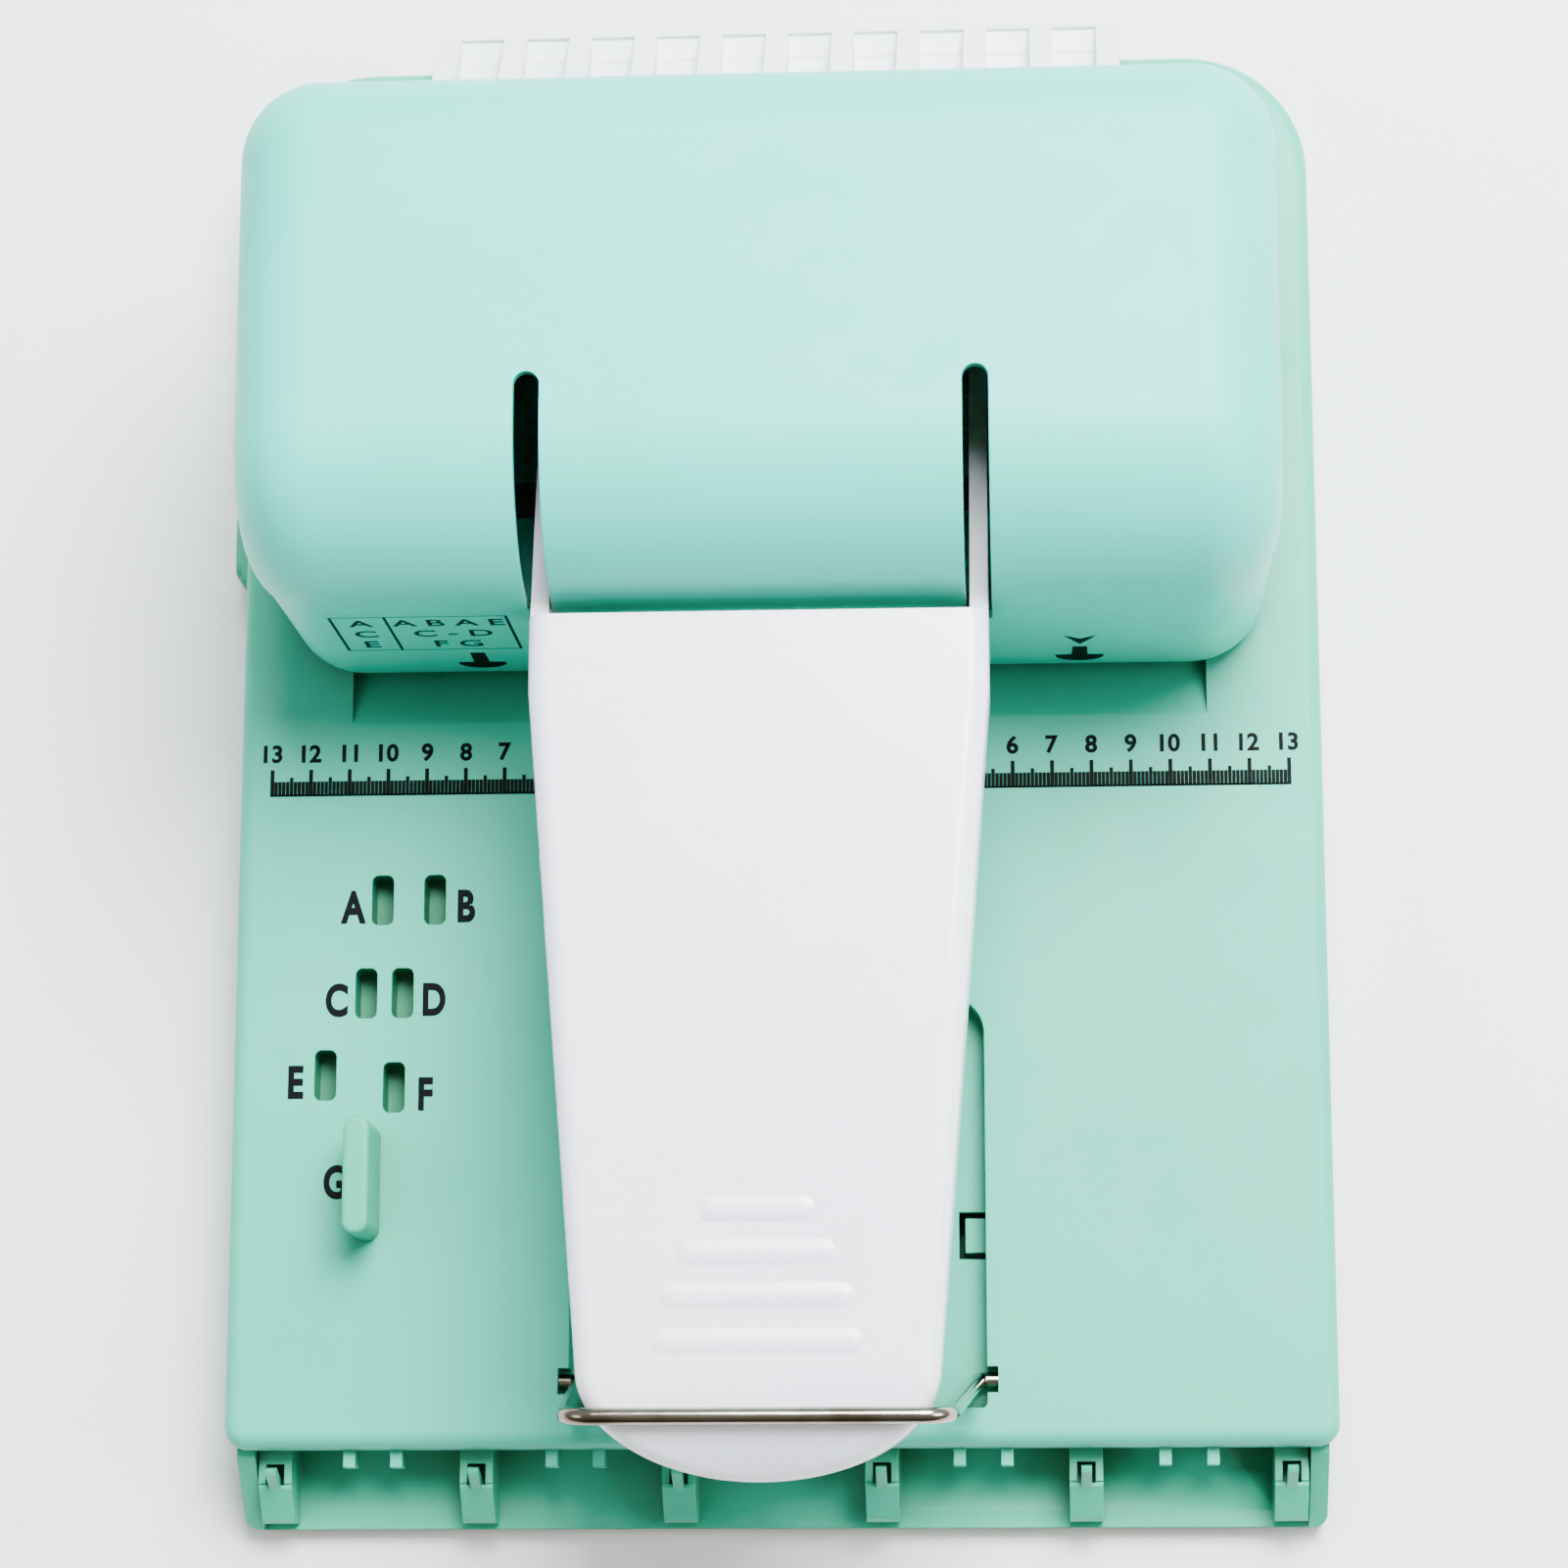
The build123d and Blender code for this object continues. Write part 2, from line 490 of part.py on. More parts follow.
def press_cam(side):
    """Cam on the lever shaft. Its working edge is the involute that gives an even stroke."""
    rate = STROKE / LEVER_SWING
    reach = PIVOT_Z - CARRIER_Z1 - CAM_GAP
    edge = []
    for i in range(8):
        turn = LEVER_SWING * i / 7
        lift = reach - rate * turn
        edge.append((PIVOT_Y + lift * math.sin(turn) - rate * math.cos(turn),
                     PIVOT_Z - lift * math.cos(turn) - rate * math.sin(turn)))
    flank = [(PIVOT_Y + 9.5, PIVOT_Z - 5.5), (PIVOT_Y, PIVOT_Z + 4), (PIVOT_Y - 10.9, PIVOT_Z),
             (edge[0][0] - 2.2, edge[0][1] + 3.0)]
    lobe = make_face(Spline(*edge).edges() + Polyline(edge[-1], *flank, edge[0]).edges())
    x0, x1 = side * (CAM_X - CAM_THICK / 2), side * (CAM_X + CAM_THICK / 2)
    cam = side_plate(lobe, x0, x1) + across(PIVOT_Y, PIVOT_Z, 11, x0, x1)
    cam -= across(PIVOT_Y, PIVOT_Z, SHAFT_R, x0 - side, x1 + side)
    return cam - upright(side * CAM_X, PIVOT_Y, 1.5, PIVOT_Z, PIVOT_Z + 14)


def cam_pin(side):
    """Dowel that keys a cam to the shaft."""
    return upright(side * CAM_X, PIVOT_Y, 1.5, PIVOT_Z + SHAFT_R, PIVOT_Z + 10.5)


def lever_arm(side):
    """White arm from the shaft, through the head slot, to the rear of the lever shell."""
    slope = math.atan2(20.6, 81.2)
    down = (ARM_HALF_DEPTH * math.sin(slope), ARM_HALF_DEPTH * math.cos(slope))
    front_y = 22.8
    front_z = PIVOT_Z + (PIVOT_Y - front_y) * math.tan(slope)
    bar = [(PIVOT_Y + down[0], PIVOT_Z + down[1]), (front_y + down[0], front_z + down[1]),
           (front_y, 107.0), (front_y, 93.0), (front_y - down[0], front_z - down[1]),
           (PIVOT_Y - down[0], PIVOT_Z - down[1])]
    middle = side * ARM_X
    outer = middle + side * ARM_THICK / 2
    inner = middle - side * ARM_THICK / 2
    arm = side_plate(polygon(bar), inner, outer) + across(PIVOT_Y, PIVOT_Z, 12, inner, outer)
    arm += block(inner, side * (LEVER_REAR_HALF - LEVER_SKIN - 0.1), -9.0, front_y + 1, 94.0, 106.0)
    arm -= across(PIVOT_Y, PIVOT_Z, SHAFT_R, inner - side, outer + side)
    for y in (-3.0, 13.0):
        arm -= across(y, 100.0, 2.0, inner - side, outer + side)
    return arm


def arm_rivets(side):
    """Two rivets that join an arm's tongue to the lever frame."""
    rivets = []
    for y in (-3.0, 13.0):
        inner = side * (ARM_X - ARM_THICK / 2)
        rivet = across(y, 100.0, 2.0, inner - side * 2.3, side * (LEVER_REAR_HALF - LEVER_SKIN - 0.1))
        rivets.append(rivet + across(y, 100.0, 3.6, inner - side * 3.8, inner - side * 2.3))
    return rivets


def lever_outline(inset):
    """Plan of the lever: straight rear sides, a slight taper and an elliptical nose."""
    side, nose = LEVER_REAR_HALF - inset, LEVER_NOSE_HALF - inset
    tip = LEVER_TIP_Y + inset
    nose_arc = EllipticalCenterArc((0, LEVER_NOSE_Y), nose, LEVER_NOSE_Y - tip, start_angle=180, arc_size=180)
    sides = Polyline((nose, LEVER_NOSE_Y), (side, LEVER_TAPER_Y), (side, LEVER_REAR), (-side, LEVER_REAR),
                     (-side, LEVER_TAPER_Y), (-nose, LEVER_NOSE_Y))
    return make_face(nose_arc.edges() + sides.edges())


def lever_profile(inset, y0, foot_z):
    """Side view of the lever, a closed (y, z) face: level top, then a long arc down to the nose."""
    top = LEVER_TOP_Z - inset
    bend = ((LEVER_NOSE_Y - LEVER_TIP_Y) ** 2 + LEVER_TIP_DROP ** 2) / (2 * LEVER_TIP_DROP)
    arc = CenterArc((LEVER_NOSE_Y, LEVER_TOP_Z - bend), bend - inset, 90, NOSE_BEND)
    end = arc @ 1
    rest = Polyline(end, (end.X, foot_z), (y0, foot_z), (y0, top), (LEVER_NOSE_Y, top))
    return make_face(arc.edges() + rest.edges())


def lever_solid(inset, y0, foot_z):
    """The lever's outside, or its inside when inset is more than 0."""
    plan = Pos(0, 0, foot_z) * extrude(lever_outline(inset), LEVER_TOP_Z - foot_z)
    return plan & side_plate(lever_profile(inset, y0, foot_z), -60, 60)


def lever_shell():
    """White hand lever shell, with shallow grip ridges near the nose."""
    shell = lever_solid(0.0, LEVER_REAR, LEVER_FOOT_Z)
    low = LEVER_TOP_Z - LEVER_TIP_DROP - 1
    rim = [e for e in shell.edges() if e.bounding_box().min.Z > low and e.center().Y < LEVER_REAR - 0.1]
    rim = [e for e in rim if e.bounding_box().size.Y > 0.1]
    shell = fillet(rim, LEVER_EDGE)
    shell -= lever_solid(LEVER_SKIN, LEVER_REAR - 2.6, LEVER_FOOT_Z - 1)
    for side in (-1, 1):
        inner = side * (ARM_X - ARM_THICK / 2 - 0.1)
        shell -= block(inner, side * (LEVER_REAR_HALF - LEVER_SKIN), -9.2, LEVER_REAR + 1, 93.8, 106.2)
    for x, y in LEVER_SCREWS:
        shell += upright(x, y, 3.5, 106.0, LEVER_TOP_Z - 2) - upright(x, y, 1.5, 105, LEVER_TOP_Z - 2)
    shell -= across(PIVOT_Y, PIVOT_Z, LEVER_SWEEP_R, -70, 70)
    # the side walls get shallower towards the nose
    under_nose = [(FRAME_END_Y, LEVER_FOOT_Z), (NOSE_FOOT_Y, NOSE_FOOT_Z), (LEVER_TIP_Y - 5, NOSE_FOOT_Z),
                  (LEVER_TIP_Y - 5, LEVER_FOOT_Z - 2), (FRAME_END_Y, LEVER_FOOT_Z - 2)]
    shell -= side_plate(polygon(under_nose), -60, 60)
    bend = ((LEVER_NOSE_Y - LEVER_TIP_Y) ** 2 + LEVER_TIP_DROP ** 2) / (2 * LEVER_TIP_DROP)
    for y, long in GRIP_RIDGES:
        bar_r, stand = 8.0, 0.6
        past = min(0.0, y - LEVER_NOSE_Y)
        surface = LEVER_TOP_Z - bend + math.sqrt(bend ** 2 - past ** 2)
        z = surface - bar_r + stand
        ridge = across(y, z, bar_r, -long / 2, long / 2)
        ridge += Pos(-long / 2, y, z) * Sphere(bar_r)
        ridge += Pos(long / 2, y, z) * Sphere(bar_r)
        shell += ridge & block(-60, 60, y - 8, y + 8, surface - 1.5, surface + 3)
    return shell


def lever_frame():
    """Pressed steel channel inside the lever shell."""
    y0, y1, rear, nose, bend_y = 16.0, FRAME_END_Y, 50.2, 36.0, -9.0
    plan = polygon([(-rear, y0), (rear, y0), (rear, bend_y), (nose, y1), (-nose, y1), (-rear, bend_y)])
    skin = 2.0
    inner = polygon([(-rear + skin, y0 + 9), (rear - skin, y0 + 9), (rear - skin, bend_y),
                     (nose - skin, y1 - 9), (-nose + skin, y1 - 9), (-rear + skin, bend_y)])
    frame = Pos(0, 0, 94.0) * extrude(plan, 12.0)
    frame -= Pos(0, 0, 93.0) * extrude(inner, 11.0)
    for x, y in LEVER_SCREWS:
        frame -= upright(x, y, 1.7, 100, 110)
    for side in (-1, 1):
        for y in (-3.0, 13.0):
            frame -= across(y, 100.0, 2.0, side * 45, side * 52)
    return frame


def punch_carrier():
    """Steel plate that the cams press and the punches hang from."""
    plate = block(-CARRIER_HALF, CARRIER_HALF, CARRIER_FRONT, CARRIER_REAR, CARRIER_Z0, CARRIER_Z1)
    plate = fillet(plate.edges().filter_by(Axis.Z), 4)
    for x in PUNCHES:
        plate -= upright(x, PUNCH_Y, 2.5, CARRIER_Z0 - 1, CARRIER_Z1 + 1)
    for side in (-1, 1):
        plate -= upright(side * PIN_X, PIN_Y, PIN_R + 2.5, CARRIER_Z0 - 1, CARRIER_Z1 + 1)
    return plate


def punch(x):
    """One hardened punch with a round shank in the carrier."""
    return mushroom(x, 0.0, PUNCH_TIP_Z, CARRIER_Z0) + upright(x, PUNCH_Y, 2.5, CARRIER_Z0 - 1, CARRIER_Z1)


def guide_bush(side):
    """Bush in the carrier that runs on a guide pin."""
    x = side * PIN_X
    bush = upright(x, PIN_Y, PIN_R + 2.5, CARRIER_Z0, CARRIER_Z1) + upright(x, PIN_Y, PIN_R + 3.5, CARRIER_Z1,
                                                                          CARRIER_Z1 + 2)
    return bush - upright(x, PIN_Y, PIN_R + PIN_FIT, CARRIER_Z0 - 1, CARRIER_Z1 + 3)


def return_spring(side):
    """Compression spring round a guide pin, lifting the carrier."""
    height = CARRIER_Z0 - STRIPPER_Z1 - 2 * SPRING_WIRE_R - 0.4
    start_z = STRIPPER_Z1 + SPRING_WIRE_R + 0.2
    path = Pos(side * PIN_X, PIN_Y, start_z) * Helix(height / SPRING_TURNS, height, SPRING_R)
    section = Plane(path @ 0, z_dir=path % 0) * Circle(SPRING_WIRE_R)
    return sweep(section, path=path)


def bail_wire():
    """Chrome wire bail hooked over the lever's nose."""
    top_y = BAIL_PIVOT_Y - BAIL_LEG * math.sin(BAIL_LEAN)
    top_z = BAIL_PIVOT_Z + BAIL_LEG * math.cos(BAIL_LEAN)
    points = [(BAIL_END_X, BAIL_PIVOT_Y, BAIL_PIVOT_Z), (BAIL_FOOT_X, BAIL_PIVOT_Y, BAIL_PIVOT_Z),
              (BAIL_TOP_X, top_y, top_z), (-BAIL_TOP_X, top_y, top_z),
              (-BAIL_FOOT_X, BAIL_PIVOT_Y, BAIL_PIVOT_Z), (-BAIL_END_X, BAIL_PIVOT_Y, BAIL_PIVOT_Z)]
    path = FilletPolyline(*points, radius=[2.4, 7.0, 7.0, 2.4])
    section = Plane(path @ 0, z_dir=path % 0) * Circle(BAIL_WIRE_R)
    return sweep(section, path=path)


def chip_drawer():
    """Tray that catches the paper chips."""
    x0 = -BASE_HALF - 0.1
    tray = block(x0, DRAWER_END_X, DRAWER_FRONT_Y, DRAWER_REAR_Y, DRAWER_Z0, DRAWER_Z1)
    skin = 1.8
    space = block(x0 + 3, DRAWER_END_X - skin, DRAWER_FRONT_Y + skin, DRAWER_REAR_Y - skin, DRAWER_Z0 + skin,
                  DRAWER_Z1 + 1)
    return tray - fillet(space.edges().filter_by(Axis.Z), 3)


def drawer_pull():
    """Face of the drawer with a rounded two-step finger pull."""
    x0 = -BASE_HALF - 0.1
    face = block(x0 - 1.2, x0, FACE_FRONT_Y, FACE_REAR_Y, 4.5, 26.5)
    face = fillet(face.edges().filter_by(Axis.X), 3)
    step = block(x0 - 2.2, x0 - 1.2, FACE_FRONT_Y + 1, FACE_FRONT_Y + 24, 7.5, 24.5)
    step = fillet(step.edges().filter_by(Axis.X), 3)
    knob = block(PULL_X, x0 - 2.2, FACE_FRONT_Y + 4, FACE_FRONT_Y + 21, 10.0, 22.0)
    knob = fillet(knob.edges().filter_by(Axis.X), 3)
    pull = face + step + knob
    return pull - across(FACE_FRONT_Y + 12.5, 16.0, 1.5, PULL_X - 1, x0 - 1.0)


def edge_stop_peg():
    """Stop peg that plugs into a lettered slot and sets the side of the sheet."""
    x, y = STOP_SLOTS["G"]
    fin = block(x - 3.25, x + 3.25, y - 13.5, y + 15.5, DECK_Z, DECK_Z + 20)
    fin = fillet(fin.edges().filter_by(Axis.Z), 3.0)
    fin = fillet(fin.faces().sort_by(Axis.Z)[-1].edges(), 1.2)
    return fin + stop_slot(x, y, 0.15, DECK_Z - 5, DECK_Z + 1)


os.makedirs("parts", exist_ok=True)

save("base_shell", base_shell())
save("base_tray", base_tray())
save("rubber_feet", [fillet(upright(x, y, 8, 0, UNDERSIDE_Z).edges().sort_by(Axis.Z)[0], 1) for x, y in FEET])
save("base_screws", [screw(x, y, 4.0, 21.5, head_high=0.9) for x, y in BASE_SCREWS])
save("disc_rack", disc_rack())
save("rack_screws", [screw(x, y, 15.0, SKIRT_Z + 4.5) for x, y in RACK_SCREWS])
save("head_body", head_body())
save("head_cover", head_cover())
save("head_screws", [screw(x, y, DECK_Z - WALL, 45.0) for x, y in HEAD_SCREWS])
save("cover_screws", [screw(x, y, 94.0, 115.0) for x, y in COVER_SCREWS])
save("rear_rack", rear_rack())
save("die_plate", die_plate())
save("throat_spacer", clamp_strip(GAUGE_Y, STRIPPER_REAR, DIE_TOP_Z, STRIPPER_Z0))
save("stripper_plate", stripper_plate())
save("die_screws", [screw(x, y, DIE_TOP_Z, DIE_Z0 - 9.5) for x, y in DIE_SCREWS])
save("stripper_screws", [screw(x, y, STRIPPER_Z1, DIE_Z0) for x, y in STRIPPER_SCREWS])
save("side_frame_left", side_frame(-1))
save("side_frame_right", side_frame(1))
save("frame_screws", [screw(x, y, DIE_TOP_Z + 3, DIE_Z0) for x, y in FRAME_SCREWS])
save("guide_pins", both_sides(upright(PIN_X, PIN_Y, PIN_R, DIE_Z0, 70.0)))
save("shaft_bushes", [shaft_bush(-1), shaft_bush(1)])
save("return_springs", [return_spring(-1), return_spring(1)])
save("lever_shaft", lever_shaft())
save("shaft_circlips", [circlip(-1), circlip(1)])
save("press_cams", [press_cam(-1), press_cam(1)])
save("cam_pins", [cam_pin(-1), cam_pin(1)])
save("lever_arm_left", lever_arm(-1))
save("lever_arm_right", lever_arm(1))
save("arm_rivets", arm_rivets(-1) + arm_rivets(1))
save("lever_frame", lever_frame())
save("lever_shell", lever_shell())
save("lever_screws", [screw(x, y, 104.0, 110.5) for x, y in LEVER_SCREWS])
save("punch_carrier", punch_carrier())
save("punches", [punch(x) for x in PUNCHES])
save("guide_bushes", [guide_bush(-1), guide_bush(1)])
save("bail_wire", bail_wire())
save("chip_drawer", chip_drawer())
save("drawer_pull", drawer_pull())
save("edge_stop_peg", edge_stop_peg())
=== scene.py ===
import json
import math
import bmesh
import bpy
from mathutils import Matrix, Vector


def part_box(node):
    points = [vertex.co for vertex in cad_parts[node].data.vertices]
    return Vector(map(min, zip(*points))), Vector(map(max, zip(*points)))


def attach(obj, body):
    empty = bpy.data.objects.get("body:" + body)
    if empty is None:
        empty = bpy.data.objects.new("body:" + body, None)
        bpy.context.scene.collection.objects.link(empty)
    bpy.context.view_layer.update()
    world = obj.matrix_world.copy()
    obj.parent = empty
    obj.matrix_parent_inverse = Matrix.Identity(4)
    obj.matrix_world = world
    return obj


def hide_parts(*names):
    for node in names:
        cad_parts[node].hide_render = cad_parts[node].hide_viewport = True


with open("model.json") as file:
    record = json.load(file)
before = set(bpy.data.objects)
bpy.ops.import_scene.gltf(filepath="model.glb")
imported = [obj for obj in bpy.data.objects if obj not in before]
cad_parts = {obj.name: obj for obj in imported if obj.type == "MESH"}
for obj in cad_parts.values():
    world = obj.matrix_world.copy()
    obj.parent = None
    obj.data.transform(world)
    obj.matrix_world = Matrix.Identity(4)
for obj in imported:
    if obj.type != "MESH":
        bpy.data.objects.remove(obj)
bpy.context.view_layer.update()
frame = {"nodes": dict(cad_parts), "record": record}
nodes = frame["nodes"]
openings = {o["name"]: o["box_m"] for o in frame["record"]["physics"]["openings"]}


# ---- Base shell, head, racks and drawer ----------------------------------------------------------
# Five large mouldings in mint green ABS. The tools were spark eroded, so every outside face has a
# very fine dull grain, and the colour drifts a little where the melt ran thin or met itself.

def linear(red, green, blue):
    """A paint-chart colour, 0 to 255, as linear light."""
    return [c / 12.92 if c < 0.04045 else ((c + 0.055) / 1.055) ** 2.4
            for c in (red / 255, green / 255, blue / 255)] + [1.0]


def wire_up(material):
    """The material's nodes, its shader, its texture coordinates and a maker of linked nodes."""
    material.use_nodes = True
    tree = material.node_tree
    shader = tree.nodes["Principled BSDF"]
    place = tree.nodes.new("ShaderNodeTexCoord").outputs["Object"]

    def add(kind, links=(), **settings):
        node = tree.nodes.new(kind)
        for key, value in settings.items():
            setattr(node, key, value)
        for socket, source in links:
            if hasattr(source, "is_linked"):
                tree.links.new(source, node.inputs[socket])
            else:
                node.inputs[socket].default_value = source
        return node
    return tree, shader, place, add


def edge_rub(add, reach, strength):
    """How much a spot is on a sharp edge, where the edge colour is mixed in, from 0 to 1."""
    soft = add("ShaderNodeBevel", [("Radius", reach)], samples=4)
    flat = add("ShaderNodeNewGeometry")
    turn = add("ShaderNodeVectorMath", [(0, soft.outputs["Normal"]), (1, flat.outputs["Normal"])],
               operation="DOT_PRODUCT")
    edge_amount = add("ShaderNodeMapRange", [("Value", turn.outputs["Value"]), ("From Min", 1.0),
                                     ("From Max", 0.78), ("To Min", 0.0), ("To Max", strength)])
    return soft.outputs["Normal"], edge_amount.outputs["Result"]


def moulded(name, colour, shade, gloss, grain_depth=0.00002, coat=0.0, edge_tint_colour=None, painted_crevice_shade=None,
             sheen=0.5):
    """Moulded plastic: drifting colour, spark-eroded grain, uneven gloss, an edge colour on sharp edges
    and, if given, painted shade in crevices.
    """
    material = bpy.data.materials.new(name)
    tree, shader, place, add = wire_up(material)
    drift = add("ShaderNodeTexNoise", [("Vector", place), ("Scale", 14.0), ("Detail", 4.0),
                                       ("Roughness", 0.55)])
    cloudy = add("ShaderNodeMapRange", [("Value", drift.outputs["Fac"]), ("From Min", 0.34),
                                        ("From Max", 0.68)])
    body = add("ShaderNodeMix", [("Factor", cloudy.outputs["Result"])], data_type="RGBA")
    body.inputs[6].default_value = colour
    body.inputs[7].default_value = shade
    # Sharp edges take the edge colour: paler on the mouldings and the lever, darker on the powder-coated
    # arms.
    rounded, edge_share = edge_rub(add, 0.0005, 0.55)
    edge_tinted = add("ShaderNodeMix", [("Factor", edge_share)], data_type="RGBA")
    tree.links.new(body.outputs[2], edge_tinted.inputs[6])
    edge_tinted.inputs[7].default_value = edge_tint_colour or [min(1, c * 1.1 + 0.05) for c in colour[:3]] + [1]
    skin = edge_tinted.outputs[2]
    # Painted shade: hollows, recesses and spots close under other parts are darkened towards a deep
    # green, more the more enclosed they are.
    if painted_crevice_shade:
        crevice_occlusion = add("ShaderNodeAmbientOcclusion", [("Distance", 0.035)], samples=6)
        painted_shade_amount = add("ShaderNodeMapRange", [("Value", crevice_occlusion.outputs["AO"]), ("From Min", 0.75),
                                            ("From Max", 0.2), ("To Max", 0.85)])
        painted_shade_mixed = add("ShaderNodeMix", [("Factor", painted_shade_amount.outputs["Result"])], data_type="RGBA")
        tree.links.new(skin, painted_shade_mixed.inputs[6])
        painted_shade_mixed.inputs[7].default_value = painted_crevice_shade
        skin = painted_shade_mixed.outputs[2]
    tree.links.new(skin, shader.inputs["Base Color"])
    patchy = add("ShaderNodeTexNoise", [("Vector", place), ("Scale", 65.0), ("Detail", 5.0)])
    dull = add("ShaderNodeMapRange", [("Value", patchy.outputs["Fac"]), ("From Min", 0.3),
                                      ("From Max", 0.7), ("To Min", gloss - 0.05),
                                      ("To Max", gloss + 0.06)])
    tree.links.new(dull.outputs["Result"], shader.inputs["Roughness"])
    grain = add("ShaderNodeTexVoronoi", [("Vector", place), ("Scale", 1900.0)])
    pits = add("ShaderNodeTexNoise", [("Vector", place), ("Scale", 900.0), ("Detail", 3.0)])
    texture = add("ShaderNodeMath", [(0, grain.outputs["Distance"]), (1, pits.outputs["Fac"])],
                  operation="ADD")
    bump = add("ShaderNodeBump", [("Height", texture.outputs[0]), ("Distance", grain_depth),
                                  ("Strength", 0.6), ("Normal", rounded)])
    tree.links.new(bump.outputs["Normal"], shader.inputs["Normal"])
    shader.inputs["IOR"].default_value = 1.53
    shader.inputs["Specular IOR Level"].default_value = sheen
    shader.inputs["Coat Weight"].default_value = coat
    shader.inputs["Coat Roughness"].default_value = 0.12
    return material


def finish_node(name, material):
    """Gives a carried-over part its finish."""
    for place in nodes[name].material_slots:
        place.material = material


# Painted shade colour, mixed into the hollows and recesses of the mint mouldings.
PAINTED_SHADE_MINT = linear(22, 96, 52)
SOFT_SHEEN = 0.3
mint_deck = moulded("mint deck moulding", linear(48, 186, 158), linear(43, 180, 152), 0.46,
                    painted_crevice_shade=PAINTED_SHADE_MINT, sheen=SOFT_SHEEN)
mint_head = moulded("mint head moulding", linear(40, 210, 190), linear(34, 205, 184), 0.40,
                    painted_crevice_shade=PAINTED_SHADE_MINT, sheen=SOFT_SHEEN)
mint_small = moulded("mint small mouldings", linear(44, 180, 148), linear(38, 172, 140), 0.42,
                     painted_crevice_shade=PAINTED_SHADE_MINT, sheen=SOFT_SHEEN)
finish_node("base_shell", mint_deck)
for moulding in ("head_body", "head_cover"):
    finish_node(moulding, mint_head)
for moulding in ("base_tray", "disc_rack", "chip_drawer", "drawer_pull", "edge_stop_peg"):
    finish_node(moulding, mint_small)


# ---- Printed scale and stop letters --------------------------------------------------------------
# Black ink, pad printed on the deck after moulding: centimetres counted both ways from the middle of
# the row of punches, with a millimetre comb under them, and a letter beside every stop slot.

MM = 0.001
INK = 0.00004
deck_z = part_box("base_shell")[1].z
COMB_Y0, COMB_Y1 = -10.9 * MM, -7.0 * MM
HALF_TICK_Y, CM_TICK_Y = -5.9 * MM, -3.9 * MM
DIGIT_Y, DIGIT_HIGH, DIGIT_STROKE = 0.3 * MM, 4.3 * MM, 0.2 * MM
SCALE_ENDS, CM = 13, 10 * MM
TICK_HALF, CM_TICK_HALF = 0.45, 0.5
CAPITAL_PER_SIZE = 0.70


def ink_material(name, colour):
    """Pad-printing ink: almost black, with pinholes of thinner ink and a faint orange-peel gloss."""
    material = bpy.data.materials.new(name)
    tree, shader, place, add = wire_up(material)
    thin = add("ShaderNodeTexNoise", [("Vector", place), ("Scale", 420.0), ("Detail", 6.0)])
    cover = add("ShaderNodeMapRange", [("Value", thin.outputs["Fac"]), ("From Min", 0.55),
                                       ("From Max", 0.78)])
    tint = add("ShaderNodeMix", [("Factor", cover.outputs["Result"])], data_type="RGBA")
    tint.inputs[6].default_value = colour
    tint.inputs[7].default_value = linear(6, 15, 15)
    tree.links.new(tint.outputs[2], shader.inputs["Base Color"])
    shader.inputs["IOR"].default_value = 1.3
    shader.inputs["Specular IOR Level"].default_value = 0.2
    peel = add("ShaderNodeTexNoise", [("Vector", place), ("Scale", 1500.0)])
    gloss = add("ShaderNodeMapRange", [("Value", peel.outputs["Fac"]), ("To Min", 0.5), ("To Max", 0.7)])
    tree.links.new(gloss.outputs["Result"], shader.inputs["Roughness"])
    bump = add("ShaderNodeBump", [("Height", peel.outputs["Fac"]), ("Distance", 0.00001)])
    tree.links.new(bump.outputs["Normal"], shader.inputs["Normal"])
    return material


def ink_shape(sheet, outline):
    """A printed patch with a straight-edged outline, a few hundredths of a millimetre thick."""
    low = [sheet.verts.new((x, y, -INK / 2)) for x, y in outline]
    high = [sheet.verts.new((x, y, INK)) for x, y in outline]
    sheet.faces.new(low[::-1])
    sheet.faces.new(high)
    for i in range(len(outline)):
        j = (i + 1) % len(outline)
        sheet.faces.new((low[i], low[j], high[j], high[i]))


def ink_bar(sheet, x0, x1, y0, y1):
    """A printed rectangle."""
    ink_shape(sheet, [(x0, y0), (x1, y0), (x1, y1), (x0, y1)])


def ink_words(sheet, words, x, y, high, stroke, narrow=1.0):
    """Printed characters centred on x, y: capitals of that height, extra stroke, and set narrow."""
    type_ = bpy.data.curves.new("type", "FONT")
    type_.body = words
    type_.align_x, type_.align_y = "CENTER", "CENTER"
    type_.size = high / CAPITAL_PER_SIZE
    type_.offset = stroke
    type_.resolution_u = 6
    type_.extrude = INK
    setting = bpy.data.objects.new("type", type_)
    shape = setting.to_mesh()
    corners = [v.co.copy() for v in shape.vertices]
    middle_y = (min(c.y for c in corners) + max(c.y for c in corners)) / 2
    middle_x = (min(c.x for c in corners) + max(c.x for c in corners)) / 2
    shape.transform(Matrix.Translation((x, y, 0)) @ Matrix.Diagonal((narrow, 1, 1, 1))
                    @ Matrix.Translation((-middle_x, -middle_y, 0)))
    sheet.from_mesh(shape)
    setting.to_mesh_clear()
    bpy.data.objects.remove(setting)


def piece(name, shape, material, body, smooth=False):
    """Turns a worked mesh into a named piece that rides on a body."""
    mesh = bpy.data.meshes.new(name)
    bmesh.ops.recalc_face_normals(shape, faces=shape.faces)
    shape.to_mesh(mesh)
    shape.free()
    mesh.materials.append(material)
    for face in mesh.polygons:
        face.use_smooth = smooth
    thing = bpy.data.objects.new(name, mesh)
    bpy.context.scene.collection.objects.link(thing)
    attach(thing, body)
    return thing


print_ink = ink_material("black printing ink", linear(1, 3, 3))

